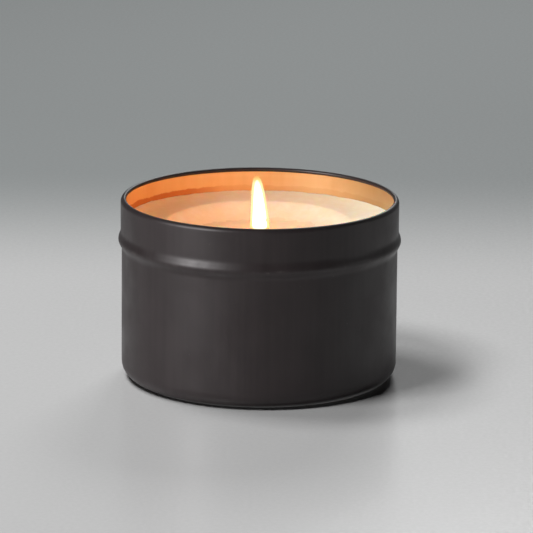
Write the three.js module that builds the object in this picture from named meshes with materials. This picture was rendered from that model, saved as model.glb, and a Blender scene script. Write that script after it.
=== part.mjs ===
// A candle in a seamless slip-lid tin: a drawn sheet-steel cup with an inward-curled rim and a
// lid-stop bead, poured wax with the shallow dish that burning leaves, a braided wick with a bent
// tip, and the crimped wick tab and foam sticker that hold the wick to the floor of the cup.
//
// Millimetres, +Z up. The origin is the centre of the circle that the tin stands on.

import * as THREE from "three";

// ---- driving dimensions -------------------------------------------------------------------

const HEIGHT = 51.0; // from the standing face to the top of the rim
const BODY_R = 38.5; // outside of the straight wall
const NECK_R = 38.8; // outside of the neck above the bead, which a lid slides over
const SHEET = 0.3; // thickness of the steel and its lacquers

const BEAD_R = 39.45; // crest of the bead that stops the lid
const BEAD_Z = 39.2;
const BEAD_HALF = 2.75; // half of the bead's height
const SHOULDER_R = 1.3; // the neck's rounded turn into the rolled rim
const SHOULDER_TURN = 60; // degrees that it turns through
const CURL_R = 0.6; // outside radius of the rolled rim
const CURL_SWEEP = 270; // degrees that the sheet has turned through at its cut edge

const CORNER_R = 4.5; // between the wall and the standing face
const FOOT_IN_R = 31.5; // inner edge of the flat ring that the tin stands on
const STEP_W = 2.2; // width of the slope from that ring up to the floor panel
const PANEL_RISE = 0.9; // how far the floor panel is raised

const WAX_GAP = 0.1; // wax to steel
const WAX_EDGE_Z = 43.9; // top of the wax at the wall
const CREEP = 0.4; // how far the wax climbs the wall
const CREEP_W = 1.6; // width of the curve that it climbs in
const SHELF_R = 26.0; // inside this radius the wax begins to dip
const POOL_R = 16.0; // edge of the flat bottom of the dish
const POOL_Z = 40.2;

const WICK_R = 1.2;
const WICK_TOP_Z = 45.0;
const WICK_BEND_Z = 41.0; // the wick is straight up to here
const WICK_LEAN = 1.3; // how far the tip leans, towards +X

const TAB_R = 10.0;
const TAB_T = 0.3;
const COLLAR_R = 1.65; // outside of the tube that is crimped on the wick
const COLLAR_TOP_Z = 8.0;
const COLLAR_FILLET = 0.5; // where the tube turns out into the disc
const STICKER_R = 9.5;
const STICKER_T = 0.8;
const GLUE = 0.05; // between stacked pieces
const FIT = 0.1; // radial gap round a piece that passes through another

const ROUND = 48; // facets round the tin and the wax
const ROUND_SMALL = 32; // facets round the tab and the sticker
const WICK_SIDES = 12;
const WICK_STEPS = 32;
const SLOPE_STEPS = 6;

// ---- heights that follow from them ---------------------------------------------------------

const FLOOR_Z = PANEL_RISE + SHEET; // top of the floor panel, inside
const STICKER_Z = FLOOR_Z + GLUE;
const TAB_Z = STICKER_Z + STICKER_T + GLUE;
const TAB_TOP_Z = TAB_Z + TAB_T;
const BORE_R = WICK_R + FIT; // bore round the wick, in the wax and in the tab

// ---- the tin's outer surface, as points that each carry their outward normal ----------------

// A point of a profile, and the same point moved inwards along its normal.
const at = (r, z, nr, nz) => ({ r, z, nr, nz });
const inset = (p, depth) => new THREE.Vector2(p.r - p.nr * depth, p.z - p.nz * depth);

function arcPoints(centreR, centreZ, radius, fromDeg, toDeg, steps) {
  const points = [];
  for (let i = 0; i <= steps; i++) {
    const angle = THREE.MathUtils.degToRad(fromDeg + ((toDeg - fromDeg) * i) / steps);
    const [nr, nz] = [Math.cos(angle), Math.sin(angle)];
    points.push(at(centreR + radius * nr, centreZ + radius * nz, nr, nz));
  }
  return points;
}

// Points along a curve place(t) for t from 0 to 1, with the normal on its right-hand side.
function curvePoints(place, steps) {
  const points = [];
  const nudge = 1e-4;
  for (let i = 0; i <= steps; i++) {
    const t = i / steps;
    const [r, z] = place(t);
    const [r0, z0] = place(t - nudge);
    const [r1, z1] = place(t + nudge);
    const length = Math.hypot(r1 - r0, z1 - z0);
    points.push(at(r, z, (z1 - z0) / length, -(r1 - r0) / length));
  }
  return points;
}

// The slope from the raised floor panel down to the flat standing ring: an S-curve.
function footStep() {
  const place = (t) => {
    const fall = 0.5 + 0.5 * Math.cos(Math.PI * THREE.MathUtils.clamp(t, 0, 1));
    return [FOOT_IN_R - STEP_W * (1 - t), PANEL_RISE * fall];
  };
  return curvePoints(place, 4);
}

// The lid-stop bead: one smooth swell that starts at the wall's radius and ends at the neck's.
function bead() {
  const place = (t) => {
    const u = 2 * THREE.MathUtils.clamp(t, 0, 1) - 1;
    const base = u < 0 ? BODY_R : NECK_R;
    const swell = 0.5 + 0.5 * Math.cos(Math.PI * u);
    return [base + (BEAD_R - base) * swell, BEAD_Z + BEAD_HALF * (2 * t - 1)];
  };
  return curvePoints(place, 8);
}

const floorPoints = () => [at(0, PANEL_RISE, 0, -1), ...footStep()];
const wallPoints = () => [
  ...arcPoints(BODY_R - CORNER_R, CORNER_R, CORNER_R, -90, 0, 5),
  ...bead(),
];

// The rim: a rounded shoulder that tightens into a roll, which hides the sheet's cut edge.
function rimPoints() {
  const turn = THREE.MathUtils.degToRad(SHOULDER_TURN);
  const apart = SHOULDER_R - CURL_R; // between the two centres
  const shoulderR = NECK_R - SHOULDER_R;
  const curlZ = HEIGHT - CURL_R;
  const curlR = shoulderR + apart * Math.cos(turn);
  const shoulderZ = curlZ - apart * Math.sin(turn);
  const shoulder = arcPoints(shoulderR, shoulderZ, SHOULDER_R, 0, SHOULDER_TURN, 2);
  const curl = arcPoints(curlR, curlZ, CURL_R, SHOULDER_TURN, CURL_SWEEP, 7);
  return [...shoulder, ...curl.slice(1)];
}

// ---- solids of revolution ---------------------------------------------------------------------

// Turns a profile of (radius, height) points about Z. It runs anticlockwise round its area.
function turned(profile, segments) {
  const geometry = new THREE.LatheGeometry(profile, segments);
  geometry.rotateX(Math.PI / 2);
  return geometry;
}

function tinCup() {
  const line = [...floorPoints(), ...wallPoints(), ...rimPoints()];
  const outside = line.map((p) => inset(p, 0));
  const inside = line.map((p) => inset(p, SHEET)).reverse();
  return turned([...outside, ...inside], ROUND);
}

// The top of the wax, from the wall in to the wick: a curve up the wall, a flat shelf, a slope
// that is steepest near its top, and the dish's floor.
function waxTop(wallR) {
  const climb = [0, 0.25, 0.55, 1].map((t) => {
    return new THREE.Vector2(wallR - CREEP_W * t, WAX_EDGE_Z + CREEP * (1 - t) ** 2);
  });
  const slope = [];
  for (let i = 0; i <= SLOPE_STEPS; i++) {
    const t = i / SLOPE_STEPS;
    const soft = 0.5 - 0.5 * Math.cos(Math.PI * t);
    const steep = 1 - (1 - t) ** 2;
    const fall = (soft + steep) / 2;
    const r = SHELF_R - (SHELF_R - POOL_R) * t;
    slope.push(new THREE.Vector2(r, WAX_EDGE_Z - (WAX_EDGE_Z - POOL_Z) * fall));
  }
  return [...climb, ...slope, new THREE.Vector2(BORE_R, POOL_Z)];
}

// The fillet between the tab's disc and its collar, from the disc up, or a surface round it.
function collarFoot(clearance) {
  const centreR = COLLAR_R + COLLAR_FILLET;
  const centreZ = TAB_TOP_Z + COLLAR_FILLET;
  return arcPoints(centreR, centreZ, COLLAR_FILLET - clearance, 270, 180, 3).map((p) => inset(p, 0));
}

// The space inside the wax, from the top down: round the wick, the collar, the tab and the sticker.
function waxBore() {
  return [
    new THREE.Vector2(BORE_R, COLLAR_TOP_Z + FIT),
    new THREE.Vector2(COLLAR_R + FIT, COLLAR_TOP_Z + FIT),
    ...collarFoot(FIT).reverse(),
    new THREE.Vector2(TAB_R + FIT, TAB_TOP_Z + FIT),
  ];
}

function waxFill() {
  const depth = SHEET + WAX_GAP;
  const start = new THREE.Vector2(TAB_R + FIT, FLOOR_Z + WAX_GAP);
  const outside = [...footStep(), ...wallPoints()].map((p) => inset(p, depth));
  const profile = [start, ...outside, ...waxTop(NECK_R - depth), ...waxBore(), start];
  return turned(profile, ROUND);
}

function wickTab() {
  const profile = [
    new THREE.Vector2(BORE_R, TAB_Z),
    new THREE.Vector2(TAB_R, TAB_Z),
    new THREE.Vector2(TAB_R, TAB_TOP_Z),
    ...collarFoot(0),
    new THREE.Vector2(COLLAR_R, COLLAR_TOP_Z),
    new THREE.Vector2(BORE_R, COLLAR_TOP_Z),
    new THREE.Vector2(BORE_R, TAB_Z),
  ];
  return turned(profile, ROUND_SMALL);
}

function wickSticker() {
  const profile = [
    new THREE.Vector2(0, STICKER_Z),
    new THREE.Vector2(STICKER_R, STICKER_Z),
    new THREE.Vector2(STICKER_R, STICKER_Z + STICKER_T),
    new THREE.Vector2(0, STICKER_Z + STICKER_T),
  ];
  return turned(profile, ROUND_SMALL);
}

// ---- the wick -----------------------------------------------------------------------------------

// A curve that runs straight up the axis and then leans over towards +X at its tip.
class WickLine extends THREE.Curve {
  getPoint(t, target = new THREE.Vector3()) {
    const z = TAB_Z + (WICK_TOP_Z - TAB_Z) * t;
    const over = Math.max(0, (z - WICK_BEND_Z) / (WICK_TOP_Z - WICK_BEND_Z));
    return target.set(WICK_LEAN * over * over, 0, z);
  }
}

function wick() {
  const section = new THREE.Shape();
  for (let i = 0; i < WICK_SIDES; i++) {
    const angle = (2 * Math.PI * i) / WICK_SIDES;
    const [x, y] = [WICK_R * Math.cos(angle), WICK_R * Math.sin(angle)];
    if (i === 0) section.moveTo(x, y);
    else section.lineTo(x, y);
  }
  section.closePath();
  return new THREE.ExtrudeGeometry(section, { steps: WICK_STEPS, extrudePath: new WickLine() });
}

// ---- the assembly ---------------------------------------------------------------------------------

function piece(name, geometry, color, roughness, metalness) {
  const material = new THREE.MeshStandardMaterial({ color, roughness, metalness });
  const mesh = new THREE.Mesh(geometry, material);
  mesh.name = name;
  return mesh;
}

const candle = new THREE.Group();
candle.add(piece("tin_cup", tinCup(), 0x2e2b2c, 0.5, 0.2));
candle.add(piece("wax_fill", waxFill(), 0xf0e2c6, 0.45, 0.0));
candle.add(piece("wick", wick(), 0xd9cfb8, 0.9, 0.0));
candle.add(piece("wick_tab", wickTab(), 0xb9bcc0, 0.35, 0.9));
candle.add(piece("wick_sticker", wickSticker(), 0xe8e6e0, 0.8, 0.0));

export default candle;
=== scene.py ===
import math

import bpy
from mathutils import Matrix, Vector, noise


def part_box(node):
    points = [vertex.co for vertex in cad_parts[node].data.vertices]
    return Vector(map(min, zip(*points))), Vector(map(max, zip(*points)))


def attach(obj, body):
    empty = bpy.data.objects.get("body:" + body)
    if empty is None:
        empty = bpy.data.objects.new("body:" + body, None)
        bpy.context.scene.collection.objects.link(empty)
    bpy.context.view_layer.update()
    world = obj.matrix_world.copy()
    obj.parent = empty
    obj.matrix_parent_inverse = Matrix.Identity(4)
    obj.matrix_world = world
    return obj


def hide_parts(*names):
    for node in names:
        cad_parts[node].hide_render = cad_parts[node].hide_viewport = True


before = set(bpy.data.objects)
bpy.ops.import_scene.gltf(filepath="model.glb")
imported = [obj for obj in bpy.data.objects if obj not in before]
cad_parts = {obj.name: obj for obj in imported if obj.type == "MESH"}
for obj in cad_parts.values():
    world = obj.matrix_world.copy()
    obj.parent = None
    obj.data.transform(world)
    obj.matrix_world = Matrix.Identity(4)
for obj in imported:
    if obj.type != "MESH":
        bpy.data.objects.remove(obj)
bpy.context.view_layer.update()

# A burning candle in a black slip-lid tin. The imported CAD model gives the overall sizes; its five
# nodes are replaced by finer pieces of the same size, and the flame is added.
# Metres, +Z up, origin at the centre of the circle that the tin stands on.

MM = 0.001

# ---- sizes ----------------------------------------------------------------------------------

_, tin_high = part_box("tin_cup")
_, wax_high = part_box("wax_fill")
wick_low, wick_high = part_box("wick")
tab_low, tab_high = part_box("wick_tab")
sticker_low, sticker_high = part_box("wick_sticker")

HEIGHT = tin_high.z
BEAD_R = tin_high.x
BODY_R = BEAD_R - 0.95 * MM
NECK_R = BEAD_R - 0.65 * MM
SHEET = 0.3 * MM
LINING = 0.03 * MM  # the share of the sheet that is inner lacquer
BEAD_Z = 39.2 * MM
BEAD_HALF = 3.1 * MM
SHOULDER_R = 1.3 * MM
SHOULDER_TURN = 60  # degrees
CURL_R = 0.6 * MM
CURL_SWEEP = 270  # degrees
CORNER_R = 4.5 * MM
FOOT_IN_R = 31.5 * MM
STEP_W = 2.2 * MM
PANEL_RISE = 0.9 * MM
FLOOR_Z = PANEL_RISE + SHEET

WAX_GAP = 0.1 * MM
WAX_R = NECK_R - SHEET - 0.03 * MM  # where it meets the neck
CREEP = 0.4 * MM
CREEP_W = 1.6 * MM
WAX_EDGE_Z = wax_high.z - CREEP
SHELF_R = 26.0 * MM
POOL_R = 16.0 * MM
POOL_Z = 40.2 * MM

WICK_R = wick_high.y
WICK_BASE_Z = wick_low.z
WICK_TOP_Z = 45.0 * MM
WICK_BEND_Z = 41.0 * MM
WICK_LEAN = 1.3 * MM
BORE_R = WICK_R + 0.1 * MM

TAB_R = tab_high.x
TAB_Z = tab_low.z
TAB_T = 0.3 * MM
COLLAR_R = 1.65 * MM
COLLAR_TOP_Z = tab_high.z
COLLAR_FILLET = 0.5 * MM
STICKER_R = sticker_high.x
STICKER_Z = sticker_low.z
STICKER_TOP_Z = sticker_high.z

FLAME_BASE_Z = 40.9 * MM
FLAME_TIP_Z = 57.1 * MM
FLAME_R = 2.85 * MM
FLAME_LEAN = -1.0 * MM  # of its tip, along X

ROUND = 256  # facets round the tin and the wax
ROUND_SMALL = 96  # facets round the tab and the sticker


# ---- meshes ---------------------------------------------------------------------------------


def make_piece(name, vertices, faces, material, sharp_deg=45):
    """A smooth-shaded mesh object that rides on the one body of this part."""
    mesh = bpy.data.meshes.new(name)
    mesh.from_pydata(vertices, [], faces)
    mesh.materials.append(material)
    mesh.shade_smooth()
    mesh.set_sharp_from_angle(angle=math.radians(sharp_deg))
    mesh.validate()
    obj = bpy.data.objects.new(name, mesh)
    bpy.context.scene.collection.objects.link(obj)
    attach(obj, "root")
    return obj


def revolve(profile, segments, closed=False):
    """Vertices and faces of (radius, height) points turned about Z. The points run anticlockwise
    round the area that they bound, and closed joins the last of them to the first."""
    vertices, rings = [], []
    for r, z in profile:
        first = len(vertices)
        if r < 1e-9:
            vertices.append(Vector((0, 0, z)))
            rings.append([first] * segments)
            continue
        for k in range(segments):
            angle = 2 * math.pi * k / segments
            vertices.append(Vector((r * math.cos(angle), r * math.sin(angle), z)))
        rings.append(list(range(first, first + segments)))
    if closed:
        rings.append(rings[0])
    faces = []
    for low, high in zip(rings, rings[1:]):
        for k in range(segments):
            n = (k + 1) % segments
            corners = [low[k], low[n], high[n], high[k]]
            faces.append(list(dict.fromkeys(corners)))  # a triangle where it meets the axis
    return vertices, faces


def arc(centre_r, centre_z, radius, start_deg, stop_deg, steps):
    """Points (r, z, outward normal's r, z) along an arc."""
    points = []
    for i in range(steps + 1):
        angle = math.radians(start_deg + (stop_deg - start_deg) * i / steps)
        nr, nz = math.cos(angle), math.sin(angle)
        points.append((centre_r + radius * nr, centre_z + radius * nz, nr, nz))
    return points


def curve(place, steps):
    """Points (r, z, normal's r, z) along place(t), t from 0 to 1, the normal on its right."""
    points = []
    nudge = 1e-4
    for i in range(steps + 1):
        t = i / steps
        r, z = place(t)
        r0, z0 = place(t - nudge)
        r1, z1 = place(t + nudge)
        length = math.hypot(r1 - r0, z1 - z0)
        points.append((r, z, (z1 - z0) / length, -(r1 - r0) / length))
    return points


def inset(points, depth):
    """Plain (r, z) points, moved inwards along the normals."""
    return [(r - nr * depth, z - nz * depth) for r, z, nr, nz in points]


def clamp(value, low=0.0, high=1.0):
    return max(low, min(high, value))


def ease(t):
    """0 to 1 along half a cosine wave."""
    return 0.5 - 0.5 * math.cos(math.pi * clamp(t))


# ---- the tin's outline ----------------------------------------------------------------------


def foot_step(steps=16):
    """From the raised floor panel down to the flat ring that the tin stands on."""

    def place(t):
        return FOOT_IN_R - STEP_W * (1 - t), PANEL_RISE * (1 - ease(t))

    return curve(place, steps)


def wall(corner_steps=20, wall_steps=24, bead_steps=36):
    """Up the outside, from the standing ring to the top of the lid-stop bead."""

    def straight(t):
        return BODY_R, CORNER_R + (BEAD_Z - BEAD_HALF - CORNER_R) * t

    def bead(t):
        u = 2 * clamp(t) - 1
        base = BODY_R if u < 0 else NECK_R
        swell = math.cos(math.pi / 2 * u) ** 3
        return base + (BEAD_R - base) * swell, BEAD_Z + BEAD_HALF * (2 * t - 1)

    corner = arc(BODY_R - CORNER_R, CORNER_R, CORNER_R, -90, 0, corner_steps)
    return [*corner, *curve(straight, wall_steps)[1:-1], *curve(bead, bead_steps)]


def neck(steps=10):
    """The straight neck above the bead, up to where its shoulder turns in."""
    turn = math.radians(SHOULDER_TURN)
    top = HEIGHT - CURL_R - (SHOULDER_R - CURL_R) * math.sin(turn)
    low = BEAD_Z + BEAD_HALF
    return curve(lambda t: (NECK_R, low + (top - low) * t), steps)[1:]


def rim(shoulder_steps=16, curl_steps=36):
    """The rounded shoulder, and the tight roll that hides the sheet's cut edge."""
    turn = math.radians(SHOULDER_TURN)
    inner = SHOULDER_R - CURL_R
    curl_r, curl_z = NECK_R - SHOULDER_R + inner * math.cos(turn), HEIGHT - CURL_R
    shoulder_z = curl_z - inner * math.sin(turn)
    shoulder = arc(NECK_R - SHOULDER_R, shoulder_z, SHOULDER_R, 0, SHOULDER_TURN, shoulder_steps)
    curl = arc(curl_r, curl_z, CURL_R, SHOULDER_TURN, CURL_SWEEP, curl_steps)
    return [*shoulder[1:], *curl[1:]]


def dent(vertex, size=0.03 * MM):
    """How far hand and press have left the sheet out of true here, along its radius."""
    direction = Vector((vertex.x, vertex.y, 0)).normalized()
    around = direction * 2.2
    around.z = vertex.z / (26 * MM)
    return direction * (size * noise.noise(around))


def floor_panel():
    """The raised middle of the tin's floor, out from its centre."""
    return [(r * FOOT_IN_R, PANEL_RISE, 0, -1) for r in (0, 0.12, 0.3, 0.5, 0.7, 0.85)]


def make_shell(name, line, outer_depth, inner_depth, material):
    """The part of the tin's wall that lies between two depths under its outer face."""
    outside = inset(line, outer_depth)
    inside = inset(line, inner_depth)[::-1]
    vertices, faces = revolve([*outside, *inside], ROUND)
    vertices = [v + dent(v) if v.length > FOOT_IN_R else v for v in vertices]
    shell = make_piece(name, vertices, faces, material)
    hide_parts("tin_cup")
    return shell


def make_tin(black, gold):
    """The drawn steel cup, which is black all round its rolled rim, and the gold lacquer that
    lines it up to the roll."""
    line = [*floor_panel(), *foot_step(), *wall(), *neck()]
    cup = make_shell("tin", [*line, *rim()], 0, SHEET - LINING, black)
    lining = make_shell("tin_lining", line, SHEET - LINING, SHEET, gold)
    return cup, lining


# ---- the wax --------------------------------------------------------------------------------


def wax_top_z(x, y):
    """The height of the wax at a place: shelf, dish and pool, with the unevenness that setting
    and melting leave."""
    r = math.hypot(x, y)
    around = Vector((x, y, 0)).normalized()
    wander = 1.3 * MM * noise.noise(around * 1.7 + Vector((0, 0, 3)))
    wander += 0.5 * MM * noise.noise(around * 6 + Vector((0, 0, 7)))
    t = clamp((SHELF_R - (r + wander)) / (SHELF_R - POOL_R))
    fall = 0.5 * ease(t) + 0.5 * (1 - (1 - t) ** 2)
    z = WAX_EDGE_Z - (WAX_EDGE_Z - POOL_Z) * fall
    solid = 1 - ease(t)
    here = Vector((x, y, 0))
    z += solid * 0.10 * MM * noise.noise(here / (9 * MM))
    z += (0.25 + 0.75 * solid) * 0.03 * MM * noise.noise(here / (2.6 * MM))
    near_wall = clamp((r - (WAX_R - CREEP_W)) / CREEP_W)
    climb = CREEP * (0.45 + 0.35 * noise.noise(around * 9) + 0.3 * noise.noise(around * 31))
    z += climb * near_wall**2
    z += 0.35 * MM * math.exp(-(r - WICK_R) / (0.5 * MM))
    return z


def wax_outline():
    """The wax's outline: out along the floor, up the wall, in over the top and down the bore.
    Returns it with the number of its first point on top, and how many of its points lie there."""
    start = [(TAB_R + WAX_GAP, FLOOR_Z + WAX_GAP)]
    low = inset([*foot_step(), *wall()], SHEET + WAX_GAP)
    climb_rings, rings = 10, 72
    climb = [WAX_R - CREEP_W * (i / climb_rings) for i in range(climb_rings)]
    inner = WAX_R - CREEP_W
    dish = [BORE_R + (inner - BORE_R) * (1 - i / rings) ** 1.15 for i in range(rings)]
    top = [(r, WAX_EDGE_Z) for r in [*climb, *dish]]
    top_of_tab = TAB_Z + TAB_T
    fillet_r, fillet_z = COLLAR_R + COLLAR_FILLET, top_of_tab + COLLAR_FILLET
    fillet = arc(fillet_r, fillet_z, COLLAR_FILLET - WAX_GAP, 180, 270, 6)
    bore = [
        (WICK_R + 0.02 * MM, POOL_Z),
        (BORE_R, POOL_Z - 1.0 * MM),
        (BORE_R, COLLAR_TOP_Z + WAX_GAP),
        (COLLAR_R + WAX_GAP, COLLAR_TOP_Z + WAX_GAP),
        *inset(fillet, 0),
        (TAB_R + WAX_GAP, top_of_tab + WAX_GAP),
    ]
    return [*start, *low, *top, *bore], len(start) + len(low), len(top) + 1


def make_wax(material):
    profile, first_top, tops = wax_outline()
    vertices, faces = revolve(profile, ROUND, closed=True)
    for v in vertices[first_top * ROUND : (first_top + tops) * ROUND]:
        v.z = wax_top_z(v.x, v.y)
    wax = make_piece("wax", vertices, faces, material)
    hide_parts("wax_fill")
    return wax


# ---- the wick -------------------------------------------------------------------------------


def wick_centre(z):
    """The wick's middle at this height: straight up, and then bent over towards +X."""
    over = clamp((z - WICK_BEND_Z) / (WICK_TOP_Z - WICK_BEND_Z), 0, 2)
    return Vector((WICK_LEAN * over * over, 0, z))


def tube(points, radii, flat, facing, sides=8):
    """Vertices and faces of a closed tube along points. Its section is an ellipse whose short
    axis, flat times its long one, lies along facing(i) at point i."""
    vertices, faces = [], []
    for i, (point, radius) in enumerate(zip(points, radii)):
        ahead = points[min(i + 1, len(points) - 1)] - points[max(i - 1, 0)]
        ahead.normalize()
        short = facing(i) - ahead * ahead.dot(facing(i))
        short.normalize()
        long = ahead.cross(short)
        for k in range(sides):
            angle = 2 * math.pi * k / sides
            offset = short * (flat * math.cos(angle)) + long * math.sin(angle)
            vertices.append(point + offset * radius)
        if i:
            a, b = (i - 1) * sides, i * sides
            for k in range(sides):
                n = (k + 1) % sides
                faces.append([a + k, a + n, b + n, b + k])
    last = (len(points) - 1) * sides
    faces.append(list(range(sides))[::-1])
    faces.append([last + k for k in range(sides)])
    return vertices, faces


def braid_strand(start_angle, turn, end_z):
    """One strand of the round braid. turn is +1 or -1; it passes over and under the strands
    that wind the other way."""
    middle_r, weave, half_width, thin = 0.76 * MM, 0.17 * MM, 0.44 * MM, 0.55
    pitch = 7.5 * MM  # height of one full turn
    rise = 0.3 * MM
    count = int((end_z - WICK_BASE_Z) / rise)
    points, radii, outward = [], [], []
    for i in range(count + 1):
        z = WICK_BASE_Z + (end_z - WICK_BASE_Z) * i / count
        wind = 2 * math.pi * (z - WICK_BASE_Z) / pitch
        angle = start_angle + turn * wind
        r = middle_r + turn * weave * math.cos(4 * wind)
        out = Vector((math.cos(angle), math.sin(angle), 0))
        left = (end_z - z) / (0.5 * MM)
        taper = 0.35 + 0.65 * math.sqrt(clamp(left))
        points.append(wick_centre(z) + out * r)
        radii.append(half_width * taper)
        outward.append(out)
    return tube(points, radii, thin, lambda i: outward[i])


def make_wick(material):
    """Eight strands, four wound each way, round a straight core."""
    strands = []
    for k in range(4):
        angle = math.pi / 2 * k
        strands.append(braid_strand(angle, 1, WICK_TOP_Z - 0.15 * MM * (k % 3)))
        strands.append(braid_strand(angle + 0.3, -1, WICK_TOP_Z - 0.2 * MM * ((k + 1) % 3)))
    core_r, core_steps = 0.62 * MM, 60
    core_height = WICK_TOP_Z - 0.5 * MM - WICK_BASE_Z
    core = [wick_centre(WICK_BASE_Z + core_height * i / core_steps) for i in range(core_steps + 1)]
    strands.append(tube(core, [core_r] * len(core), 1.0, lambda i: Vector((0, 1, 0)), 12))
    vertices, faces = [], []
    for some_vertices, some_faces in strands:
        first = len(vertices)
        vertices.extend(some_vertices)
        faces.extend([[first + c for c in face] for face in some_faces])
    wick = make_piece("wick_braid", vertices, faces, material, sharp_deg=80)
    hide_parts("wick")
    return wick


# ---- the wick's tab and sticker -------------------------------------------------------------


def stiffening_groove(r):
    """How deep the ring that is pressed into the disc is, at this radius."""
    return 0.06 * MM * math.exp(-(((r - 0.62 * TAB_R) / (0.45 * MM)) ** 2))


def crimp(vertex, middle_z):
    """How much the four jaws have narrowed the collar here, as a factor."""
    jaw = max(0, math.cos(4 * math.atan2(vertex.y, vertex.x))) ** 6
    along = math.exp(-(((vertex.z - middle_z) / (1.1 * MM)) ** 2))
    return 1 - 0.12 * jaw * along


def make_tab(material):
    """A thin pressed disc with a rounded edge, a stiffening groove and a collar that four jaws
    have crimped on the wick."""
    top = TAB_Z + TAB_T
    lip_r = 0.1 * MM
    edge = arc(TAB_R - TAB_T / 2, TAB_Z + TAB_T / 2, TAB_T / 2, -90, 90, 8)
    foot = arc(COLLAR_R + COLLAR_FILLET, top + COLLAR_FILLET, COLLAR_FILLET, 270, 180, 8)
    low, high = top + COLLAR_FILLET, COLLAR_TOP_Z - lip_r
    collar_rings, disc_rings = 24, 20
    collar = [(COLLAR_R, low + (high - low) * i / collar_rings) for i in range(1, collar_rings)]
    lip = arc(COLLAR_R - lip_r, high, lip_r, 0, 90, 4)
    disc = [(TAB_R * (0.95 - 0.7 * i / disc_rings), top) for i in range(disc_rings)]
    profile = [
        (BORE_R, TAB_Z),
        *inset(edge, 0),
        *disc,
        *inset(foot, 0),
        *collar,
        *inset(lip, 0),
        (BORE_R, COLLAR_TOP_Z),
    ]
    vertices, faces = revolve(profile, ROUND_SMALL, closed=True)
    for v in vertices:
        r = math.hypot(v.x, v.y)
        on_disc = r > COLLAR_R + COLLAR_FILLET and v.z > TAB_Z + TAB_T * 0.9
        on_collar = r > COLLAR_R * 0.97 and v.z > low
        if on_disc:
            v.z -= stiffening_groove(r)
        if on_collar:
            squeeze = crimp(v, (low + high) / 2)
            v.x *= squeeze
            v.y *= squeeze
    tab = make_piece("tab", vertices, faces, material)
    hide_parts("wick_tab")
    return tab


def make_sticker(material):
    """The foam dot under the tab, its cut edge pinched in a little."""
    radius, low, high = STICKER_R, STICKER_Z, STICKER_TOP_Z
    half = (high - low) / 2
    pinch, steps = 0.12 * MM, 8

    def edge(t):
        bulge = pinch * (1 - math.cos(2 * math.pi * t)) / 2
        return radius - pinch + bulge, low + (high - low) * t

    side = [edge(i / steps) for i in range(steps + 1)]
    spokes = [radius * share for share in (0.25, 0.5, 0.75, 0.95)]
    profile = [
        (0, low),
        *[(r, low) for r in spokes],
        *side,
        *[(r, high) for r in spokes[::-1]],
        (0, high),
    ]
    vertices, faces = revolve(profile, ROUND_SMALL)
    for v in vertices:
        if math.hypot(v.x, v.y) < radius * 0.97:
            inwards = -1 if v.z > low + half else 1
            v.z += inwards * 0.05 * half * noise.noise(v / (2.5 * MM))
    sticker = make_piece("sticker", vertices, faces, material)
    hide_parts("wick_sticker")
    return sticker


# ---- the flame ------------------------------------------------------------------------------


def flame_centre(z):
    """The flame's middle at this height. It leans more and more towards its tip."""
    t = clamp((z - FLAME_BASE_Z) / (FLAME_TIP_Z - FLAME_BASE_Z))
    return Vector((FLAME_LEAN * t**1.6, 0, z))


def make_flame_shell(name, material, girth, base_z, tip_z, point=0.37):
    """One closed shell of the flame. girth scales its width, and a greater point sharpens its
    tip."""
    rings, sides = 48, 48
    vertices, faces = [], []
    for i in range(rings + 1):
        share = ease(i / rings)
        base_round = math.sqrt(1 - (1 - clamp(share / 0.13)) ** 2)
        tip_close = (1 - share) ** point
        radius = FLAME_R * girth * tip_close * base_round
        centre = flame_centre(base_z + (tip_z - base_z) * share)
        if i in (0, rings):
            vertices.append(centre)
            continue
        for k in range(sides):
            angle = 2 * math.pi * k / sides
            vertices.append(centre + Vector((math.cos(angle), math.sin(angle), 0)) * radius)
    first, last = 0, len(vertices) - 1
    for k in range(sides):
        n = (k + 1) % sides
        faces.append([first, 1 + n, 1 + k])
        for i in range(rings - 2):
            a, b = 1 + i * sides, 1 + (i + 1) * sides
            faces.append([a + k, a + n, b + n, b + k])
        end = 1 + (rings - 2) * sides
        faces.append([end + k, end + n, last])
    shell = make_piece(name, vertices, faces, material, sharp_deg=180)
    shell.visible_shadow = False
    shell.visible_diffuse = False


def make_flame():
    """A white core in a yellow mantle in a faint halo."""
    base, tip = FLAME_BASE_Z, FLAME_TIP_Z
    core, mantle, halo = flame_core_material(), flame_mantle_material(), flame_halo_material()
    make_flame_shell("flame_core", core, 0.77, base + 0.4 * MM, tip - 1.2 * MM, point=0.46)
    make_flame_shell("flame_mantle", mantle, 1.0, base, tip)
    make_flame_shell("flame_halo", halo, 1.1, base - 0.2 * MM, tip + 0.15 * MM)


# ---- materials ------------------------------------------------------------------------------


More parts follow.
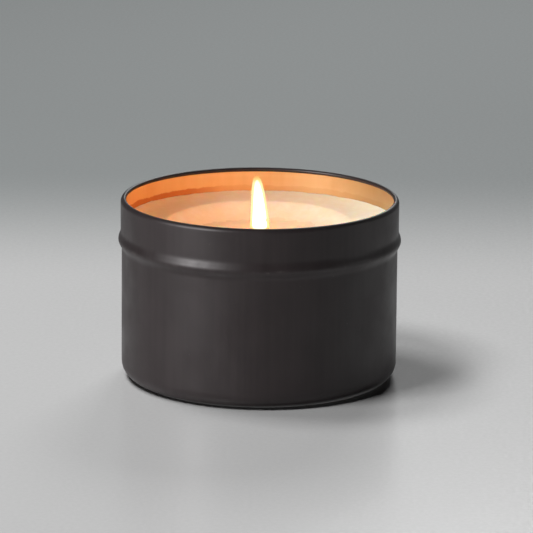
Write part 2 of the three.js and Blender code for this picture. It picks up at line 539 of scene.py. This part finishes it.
class Shader:
    """A material with one Principled shader, and short calls for the nodes that feed it."""

    def __init__(self, name, **values):
        self.material = bpy.data.materials.new(name)
        self.material.use_nodes = True
        self.nodes = self.material.node_tree.nodes
        self.links = self.material.node_tree.links
        self.nodes.clear()
        output = self.nodes.new("ShaderNodeOutputMaterial")
        self.shader = self.nodes.new("ShaderNodeBsdfPrincipled")
        self.links.new(self.shader.outputs["BSDF"], output.inputs["Surface"])
        self.place = self.nodes.new("ShaderNodeTexCoord").outputs["Object"]
        for socket, value in values.items():
            self.set(socket.replace("_", " "), value)

    def set(self, socket, value):
        """Feeds one of the shader's own sockets, by a node's output or by a plain value."""
        self.feed(self.shader.inputs[socket], value)

    def feed(self, socket, value):
        if isinstance(value, bpy.types.NodeSocket):
            self.links.new(value, socket)
        elif isinstance(value, tuple) and len(value) == 3 and socket.type == "RGBA":
            socket.default_value = (*value, 1)
        else:
            socket.default_value = value

    def maths(self, operation, *values):
        node = self.nodes.new("ShaderNodeMath")
        node.operation = operation
        for socket, value in zip(node.inputs, values):
            self.feed(socket, value)
        return node.outputs[0]

    def scaled(self, size):
        """The place on the object, in units of size: one length, or three in X, Y and Z."""
        lengths = size if isinstance(size, tuple) else (size,) * 3
        node = self.nodes.new("ShaderNodeMapping")
        node.inputs["Scale"].default_value = [1 / length for length in lengths]
        self.feed(node.inputs["Vector"], self.place)
        return node.outputs[0]

    def noise(self, size, detail=2.0, roughness=0.5):
        """Cloudy noise from 0 to 1 with features of this size."""
        node = self.nodes.new("ShaderNodeTexNoise")
        node.inputs["Scale"].default_value = 1
        node.inputs["Detail"].default_value = detail
        node.inputs["Roughness"].default_value = roughness
        self.feed(node.inputs["Vector"], self.scaled(size))
        return node.outputs["Fac"]

    def cells(self, size, output="Distance"):
        """Scattered cells of this size: the distance to a cell's centre, or its own colour."""
        node = self.nodes.new("ShaderNodeTexVoronoi")
        node.inputs["Scale"].default_value = 1
        self.feed(node.inputs["Vector"], self.scaled(size))
        return node.outputs[output]

    def axis(self, name):
        node = self.nodes.new("ShaderNodeSeparateXYZ")
        self.feed(node.inputs[0], self.place)
        return node.outputs[name]

    def from_axis(self):
        """The distance from the object's Z axis."""
        level = self.nodes.new("ShaderNodeVectorMath")
        level.operation = "MULTIPLY"
        level.inputs[1].default_value = (1, 1, 0)
        self.feed(level.inputs[0], self.place)
        length = self.nodes.new("ShaderNodeVectorMath")
        length.operation = "LENGTH"
        self.feed(length.inputs[0], level.outputs[0])
        return length.outputs["Value"]

    def span(self, value, low, high, start=0.0, stop=1.0, smooth=True):
        """Maps value from low..high to start..stop, and holds it there outside."""
        node = self.nodes.new("ShaderNodeMapRange")
        node.interpolation_type = "SMOOTHSTEP" if smooth else "LINEAR"
        for socket, number in zip(node.inputs, (value, low, high, start, stop)):
            self.feed(socket, number)
        return node.outputs[0]

    def mix(self, share, first, second):
        node = self.nodes.new("ShaderNodeMix")
        node.data_type = "RGBA"
        self.feed(node.inputs["Factor"], share)
        self.feed(node.inputs[6], first)
        self.feed(node.inputs[7], second)
        return node.outputs[2]

    def bump(self, height, distance, strength=1.0, normal=None):
        node = self.nodes.new("ShaderNodeBump")
        node.inputs["Distance"].default_value = distance
        node.inputs["Strength"].default_value = strength
        self.feed(node.inputs["Height"], height)
        if normal is not None:
            self.feed(node.inputs["Normal"], normal)
        return node.outputs[0]


def black_lacquer():
    """Matte black stoving lacquer: fine grain, orange peel, drawing marks and a little dust."""
    s = Shader("black_lacquer", Specular_IOR_Level=0.5)
    clouds = s.noise(14 * MM, 3)
    marks = s.noise((1.6 * MM, 1.6 * MM, 60 * MM), 3)
    tone = s.span(s.maths("ADD", clouds, marks), 0.7, 1.3)
    colour = s.mix(tone, (0.0150, 0.0098, 0.0102), (0.0205, 0.0140, 0.0146))
    height = s.axis("Z")
    crest = s.span(s.maths("ABSOLUTE", s.maths("SUBTRACT", height, BEAD_Z)), 0, 0.7 * MM, 1, 0)
    top = s.span(height, HEIGHT - 0.25 * MM, HEIGHT)
    rub = s.span(s.noise(2.2 * MM, 4, 0.7), 0.52, 0.72)
    wear = s.maths("MULTIPLY", s.maths("MAXIMUM", crest, top), rub)
    colour = s.mix(s.maths("MULTIPLY", wear, 0.35), colour, (0.085, 0.075, 0.070))
    speck = s.span(s.cells(1.9 * MM), 0.035, 0.06, 1, 0)
    rare = s.span(s.noise(5 * MM), 0.58, 0.66)
    dust = s.maths("MULTIPLY", speck, rare)
    colour = s.mix(s.maths("MULTIPLY", dust, 0.5), colour, (0.16, 0.15, 0.14))
    s.set("Base Color", colour)
    smear = s.span(s.noise(9 * MM, 3), 0.3, 0.7, 0.40, 0.50)
    s.set("Roughness", s.maths("ADD", smear, s.maths("MULTIPLY", wear, 0.06)))
    peel = s.bump(s.noise(0.9 * MM, 2), 0.010 * MM)
    grain = s.bump(s.noise(0.16 * MM, 2), 0.006 * MM, normal=peel)
    s.set("Normal", grain)
    return s.material


def gold_lacquer():
    """The gold lacquer inside the cup: rings from drawing, a darker band low down that is strongest
    on the left, a few dry splashes of wax, and painted shade on the right."""
    s = Shader("gold_lacquer", Specular_IOR_Level=0.5, Metallic=0.35)
    height = s.axis("Z")
    rings = s.noise((60 * MM, 60 * MM, 1.4 * MM), 3)
    drawn = s.noise((2.5 * MM, 2.5 * MM, 40 * MM), 2)
    tone = s.span(s.maths("ADD", rings, drawn), 0.6, 1.4)
    colour = s.mix(tone, (0.78, 0.50, 0.23), (0.82, 0.55, 0.27))
    blotch = s.span(s.noise(7 * MM, 3), 0.45, 0.75)
    colour = s.mix(s.maths("MULTIPLY", blotch, 0.25), colour, (0.74, 0.42, 0.17))
    # a darker band just above the wax, stronger towards the left
    edge = s.maths("MULTIPLY", s.noise(3.2 * MM, 4, 0.6), 1.6 * MM)
    band_top = s.maths("ADD", edge, WAX_EDGE_Z + 1.0 * MM)
    under_top = s.span(s.maths("SUBTRACT", band_top, height), -0.1 * MM, 0.25 * MM)
    left = s.span(s.axis("X"), -4 * MM, -26 * MM)
    low_left_band = s.maths("MULTIPLY", under_top, s.span(left, 0, 1, 0.18, 0.9))
    colour = s.mix(low_left_band, colour, (0.50, 0.165, 0.035))
    spot = s.span(s.cells(2.4 * MM), 0.07, 0.12, 1, 0)
    low_down = s.span(height, WAX_EDGE_Z + 4 * MM, WAX_EDGE_Z + 1 * MM)
    some = s.span(s.noise(6 * MM), 0.56, 0.62)
    splash = s.maths("MULTIPLY", spot, s.maths("MULTIPLY", low_down, some))
    colour = s.mix(s.maths("MULTIPLY", splash, 0.6), colour, (0.93, 0.80, 0.58))
    # painted shade: the right side of the lining is darkened towards a deep brown
    ragged_x = s.maths("ADD", s.axis("X"), s.maths("MULTIPLY", blotch, 3 * MM))
    painted_shade_right = s.span(ragged_x, 22 * MM, 36 * MM)
    colour = s.mix(s.maths("MULTIPLY", painted_shade_right, 0.60), colour, (0.36, 0.22, 0.085))
    s.set("Base Color", colour)
    s.set("Roughness", s.span(s.noise(4 * MM, 3), 0.3, 0.7, 0.36, 0.48))
    lines = s.bump(s.maths("ADD", rings, drawn), 0.006 * MM)
    s.set("Normal", s.bump(splash, 0.08 * MM, normal=lines))
    return s.material


def wax_material():
    """Cream container wax: translucent, faintly mottled, wet where the flame has melted it."""
    s = Shader(
        "wax", Subsurface_Weight=0.9, Subsurface_Scale=2.5 * MM, IOR=1.44,
        Subsurface_Radius=(1.0, 0.45, 0.22),
    )
    wander = s.maths("MULTIPLY", s.noise(8 * MM, 3), 4 * MM)
    melted = s.span(s.maths("ADD", s.from_axis(), wander), 22.5 * MM, 19 * MM)
    mottle = s.span(s.noise(3.5 * MM, 5, 0.65), 0.35, 0.7)
    colour = s.mix(mottle, (0.92, 0.86, 0.72), (0.96, 0.92, 0.82))
    frost = s.span(s.noise(0.9 * MM, 3), 0.55, 0.75)
    colour = s.mix(s.maths("MULTIPLY", frost, 0.25), colour, (0.97, 0.95, 0.89))
    colour = s.mix(s.maths("MULTIPLY", melted, 0.55), colour, (0.94, 0.87, 0.68))
    s.set("Base Color", colour)
    dry = s.span(s.noise(2.2 * MM, 3), 0.3, 0.7, 0.42, 0.58)
    s.set("Roughness", s.maths("ADD", dry, s.maths("MULTIPLY", melted, -0.36)))
    solid = s.span(melted, 0, 1, 1, 0)
    lumps = s.bump(s.maths("MULTIPLY", s.noise(1.8 * MM, 3), solid), 0.06 * MM)
    pits = s.maths("MULTIPLY", s.noise(0.35 * MM, 2), solid)
    s.set("Normal", s.bump(pits, 0.012 * MM, normal=lumps))
    return s.material


def wick_material():
    """Cotton yarn: waxed and cream below, charred above, with an ember at the very tip."""
    s = Shader("wick_yarn", Subsurface_Weight=0.1, Subsurface_Scale=0.5 * MM)
    height = s.maths("ADD", s.axis("Z"), s.maths("MULTIPLY", s.noise(0.7 * MM, 3), 0.5 * MM))
    fibres = s.noise((0.10 * MM, 0.10 * MM, 0.7 * MM), 3, 0.6)
    cotton = s.mix(fibres, (0.52, 0.42, 0.26), (0.82, 0.74, 0.56))
    scorched = s.mix(fibres, (0.10, 0.045, 0.018), (0.24, 0.12, 0.05))
    char = s.mix(fibres, (0.004, 0.0035, 0.0035), (0.022, 0.018, 0.016))
    colour = s.mix(s.span(height, 41.0 * MM, 41.7 * MM), cotton, scorched)
    colour = s.mix(s.span(height, 41.5 * MM, 42.4 * MM), colour, char)
    s.set("Base Color", colour)
    s.set("Roughness", s.span(height, 41.0 * MM, 42.5 * MM, 0.5, 0.95))
    glow = s.maths("MULTIPLY", s.span(height, 44.6 * MM, 45.2 * MM), s.span(fibres, 0.35, 0.65))
    s.set("Emission Color", s.mix(glow, (0.9, 0.10, 0.01), (1.0, 0.35, 0.05)))
    s.set("Emission Strength", s.maths("MULTIPLY", glow, 3.0))
    s.set("Normal", s.bump(fibres, 0.05 * MM))
    return s.material


def tab_material():
    """Bright tinplate with fine rolling lines and a few dull patches."""
    s = Shader("tinplate", Metallic=1.0)
    rolled = s.noise((0.07 * MM, 9 * MM, 0.3 * MM), 3)
    cloud = s.noise(2.5 * MM, 3)
    s.set("Base Color", s.mix(cloud, (0.54, 0.54, 0.53), (0.74, 0.74, 0.72)))
    s.set("Roughness", s.span(s.maths("ADD", rolled, cloud), 0.7, 1.3, 0.22, 0.42))
    s.set("Normal", s.bump(rolled, 0.006 * MM))
    return s.material


def foam_material():
    """White closed-cell foam with faint stains."""
    s = Shader("foam", Roughness=0.9)
    cells = s.cells(0.32 * MM)
    shade = s.mix(cells, (0.86, 0.85, 0.81), (0.68, 0.67, 0.63))
    stain = s.span(s.noise(3 * MM, 2), 0.5, 0.8, 0, 0.4)
    s.set("Base Color", s.mix(stain, shade, (0.80, 0.70, 0.52)))
    s.set("Normal", s.bump(cells, 0.05 * MM))
    return s.material


def flame_shader(name):
    """A shader that only glows, and the share of the flame's height at each place: 0 at its base
    and 1 at its tip."""
    s = Shader(name, Base_Color=(0, 0, 0), Roughness=1.0, Specular_IOR_Level=0.0)
    return s, s.span(s.axis("Z"), FLAME_BASE_Z, FLAME_TIP_Z, smooth=False)


def flame_core_material():
    """The hot inside of the flame, which is too bright to have a colour."""
    s, t = flame_shader("flame_core")
    flicker = s.noise((1.5 * MM, 1.5 * MM, 6 * MM), 2)
    body = s.mix(s.span(t, 0.03, 0.2), (1.0, 0.84, 0.48), (1.0, 0.97, 0.86))
    s.set("Emission Color", s.mix(s.span(t, 0.72, 0.92), body, (1.0, 0.93, 0.55)))
    s.set("Emission Strength", s.span(flicker, 0.3, 0.7, 5.0, 6.0))
    s.set("Alpha", s.maths("MULTIPLY", s.span(t, 0.07, 0.11), s.span(t, 0.97, 0.74)))
    return s.material


def flame_mantle_material():
    """The flame's outer zone: orange at the base, yellow in the middle and orange at the tip."""
    s, t = flame_shader("flame_mantle")
    wisp = s.noise((1.2 * MM, 1.2 * MM, 5 * MM), 2)
    colour = s.mix(s.span(t, 0.07, 0.105), (1.0, 0.34, 0.08), (1.0, 0.80, 0.30))
    colour = s.mix(s.span(t, 0.16, 0.3), colour, (1.0, 0.88, 0.44))
    colour = s.mix(s.span(t, 0.84, 1.0), colour, (1.0, 0.70, 0.20))
    s.set("Emission Color", colour)
    s.set("Emission Strength", s.span(t, 0.01, 0.10, 0.9, 1.3))
    rise = s.span(t, 0.0, 0.08, 0.55, 0.65)
    fade = s.span(s.maths("ADD", t, s.maths("MULTIPLY", wisp, 0.06)), 0.88, 1.04, 1.0, 0.15)
    s.set("Alpha", s.maths("MULTIPLY", rise, fade))
    return s.material


def flame_halo_material():
    """A faint orange edge, the last of the light round the flame."""
    s, t = flame_shader("flame_halo")
    wisp = s.noise((1.2 * MM, 1.2 * MM, 5 * MM), 2)
    s.set("Emission Color", s.mix(s.span(t, 0.0, 0.05), (0.15, 0.25, 0.9), (1.0, 0.60, 0.20)))
    s.set("Emission Strength", 1.0)
    rise = s.span(t, 0.02, 0.25, 0.02, 0.20)
    fade = s.span(t, 0.80, 1.0, 1.0, 0.25)
    fade = s.maths("MULTIPLY", fade, s.span(wisp, 0.2, 0.8, 0.8, 1.2))
    s.set("Alpha", s.maths("MULTIPLY", rise, fade))
    return s.material


# ---- the stage, the lights and the camera ---------------------------------------------------

SOFTBOX_DISTANCE = 0.9
SOFTBOX_AIM_Z = 20 * MM
WHITE = (1.0, 1.0, 1.0)
FLAME_COLOUR = (1.0, 0.36, 0.11)


def make_floor():
    """A pale floor with painted shade: its colour turns greyer behind the tin and a little paler
    again far off.
    """
    half = 4.0
    mesh = bpy.data.meshes.new("floor")
    corners = [(-half, -half, 0), (half, -half, 0), (half, half, 0), (-half, half, 0)]
    mesh.from_pydata(corners, [], [(0, 1, 2, 3)])
    s = Shader("paper_floor", Specular_IOR_Level=0.5)
    tooth = s.noise(1.2 * MM, 2)
    pale = s.mix(tooth, (0.56, 0.56, 0.56), (0.59, 0.59, 0.59))
    # painted shade: greyer behind the tin, and a little paler far off, in place of light falling off
    colour = s.mix(s.span(s.axis("Y"), 0.10, 0.26), pale, (0.28, 0.297, 0.297))
    colour = s.mix(s.span(s.axis("Y"), 0.35, 1.3, smooth=False), colour, (0.375, 0.395, 0.395))
    s.set("Base Color", colour)
    s.set("Roughness", s.span(tooth, 0.3, 0.7, 0.19, 0.25))
    mesh.materials.append(s.material)
    floor = bpy.data.objects.new("floor", mesh)
    bpy.context.scene.collection.objects.link(floor)
    return floor


def piece_set(name, pieces):
    """A collection that only tells a light which pieces it lights, or which can shade it."""
    group = bpy.data.collections.new(name)
    for piece in pieces:
        group.objects.link(piece)
    return group


def link_light(lamp, lit, shaded_by):
    """Lets a lamp light only the pieces in lit, and be shaded only by those in shaded_by if given."""
    lamp.light_linking.receiver_collection = piece_set(lamp.name + "_lit", lit)
    if shaded_by is not None:
        lamp.light_linking.blocker_collection = piece_set(lamp.name + "_shade", shaded_by)


def make_lamp(name, kind, power, colour):
    data = bpy.data.lights.new(name, kind)
    data.energy = power
    data.color = colour
    lamp = bpy.data.objects.new(name, data)
    bpy.context.scene.collection.objects.link(lamp)
    return lamp


def make_softbox(name, azimuth, elevation, size, power, colour, lit, shaded_by=None):
    """A rectangular light that faces the tin. Azimuth 0 is the camera's side and -90 is its left,
    in degrees."""
    lamp = make_lamp(name, "AREA", power, colour)
    lamp.data.shape = "RECTANGLE"
    lamp.data.size, lamp.data.size_y = size
    turn, rise = math.radians(azimuth), math.radians(elevation)
    out = Vector((math.sin(turn) * math.cos(rise), -math.cos(turn) * math.cos(rise), math.sin(rise)))
    lamp.location = out * SOFTBOX_DISTANCE + Vector((0, 0, SOFTBOX_AIM_Z))
    lamp.rotation_euler = out.to_track_quat("Z", "Y").to_euler()
    link_light(lamp, lit, shaded_by)


def make_flame_light(name, share, power):
    """A glowing ball in the flame, at this share of its height."""
    lamp = make_lamp(name, "POINT", power, FLAME_COLOUR)
    lamp.data.shadow_soft_size = FLAME_R
    lamp.location = flame_centre(FLAME_BASE_Z + (FLAME_TIP_Z - FLAME_BASE_Z) * share)


def make_wax_ball(wax):
    """A pale ball above the right of the rim, close enough to light that side of the wax most."""
    lamp = make_lamp("wax_right", "POINT", 0.066, (0.90, 1.0, 0.95))
    lamp.data.shadow_soft_size = 15 * MM
    lamp.location = (60 * MM, 0, 80 * MM)
    link_light(lamp, [wax], [wax])


def light_floor_and_cup(floor, cup):
    """Soft light from high on the left, a box that the front of the cup mirrors, and a weak light
    under the tin in place of what a real floor throws back."""
    make_softbox("key", -54, 62, (0.25, 0.25), 5.0, WHITE, [floor])
    make_softbox("top_left", -118, 67, (0.25, 0.25), 3.5, WHITE, [floor])
    make_softbox("back", 168, 35, (0.25, 0.25), 2.6, WHITE, [floor, cup])
    make_softbox("front_left", -54.5, 19, (0.30, 0.40), 7.9, (1.0, 0.97, 0.98), [cup])
    make_softbox("low_right", 85, 4, (0.3, 0.2), 0.3, WHITE, [cup])
    make_softbox("under", 180, -42, (0.6, 0.45), 1.3, WHITE, [cup], [cup])


def light_inside(wax, inside):
    """White light from the left, and warm light that stands in for most of the flame's."""
    make_softbox("low_left", -46, 13, (0.25, 0.25), 3.4, WHITE, inside)
    make_softbox("side", -122, 25, (0.40, 0.30), 1.2, WHITE, inside)
    make_softbox("wax_left", -80, 18, (0.45, 0.30), 3.8, (0.78, 1.0, 0.92), [wax])
    make_softbox("glow_top", 0, 88, (0.3, 0.3), 2.0, FLAME_COLOUR, inside, inside)
    make_softbox("glow_front", 30, 14, (0.25, 0.2), 1.45, FLAME_COLOUR, inside)
    make_softbox("glow_right", 68, 20, (0.40, 0.30), 3.2, FLAME_COLOUR, inside)
    make_softbox("glow_back", 120, 12, (0.25, 0.2), 1.0, FLAME_COLOUR, inside)
    make_wax_ball(wax)
    make_flame_light("flame_low", 0.35, 0.002)
    make_flame_light("flame_high", 0.65, 0.005)


def make_world():
    """A dim surround that the camera and reflections see, and that lights nothing matte."""
    world = bpy.data.worlds.new("studio")
    bpy.context.scene.world = world
    world.use_nodes = True
    background = world.node_tree.nodes["Background"]
    background.inputs["Color"].default_value = (0.98, 1.0, 1.0, 1)
    background.inputs["Strength"].default_value = 0.15
    world.cycles_visibility.diffuse = False


def make_camera():
    """A long lens, a little above the tin, that looks slightly over its middle."""
    elevation = math.radians(14.3)
    distance = 1.2061
    aim = Vector((1.965 * MM, 0, 31.13 * MM))
    roll = math.radians(0.505)
    data = bpy.data.cameras.new("camera")
    data.lens = 291.08
    data.sensor_width = 36
    data.clip_end = 20
    camera = bpy.data.objects.new("camera", data)
    centre = Vector((0, 0, 24.9 * MM))
    camera.location = centre + distance * Vector((0, -math.cos(elevation), math.sin(elevation)))
    look = (aim - camera.location).to_track_quat("-Z", "Y").to_matrix()
    camera.rotation_euler = (look @ Matrix.Rotation(roll, 3, "Z")).to_euler()
    bpy.context.scene.collection.objects.link(camera)
    bpy.context.scene.camera = camera


# ---- the scene ------------------------------------------------------------------------------

make_camera()
floor = make_floor()
bpy.context.scene.view_settings.view_transform = "Standard"

cup, lining = make_tin(black_lacquer(), gold_lacquer())
wax = make_wax(wax_material())
wick = make_wick(wick_material())
make_tab(tab_material())
make_sticker(foam_material())
light_floor_and_cup(floor, cup)
light_inside(wax, [lining, wax, wick])
make_world()
make_flame()
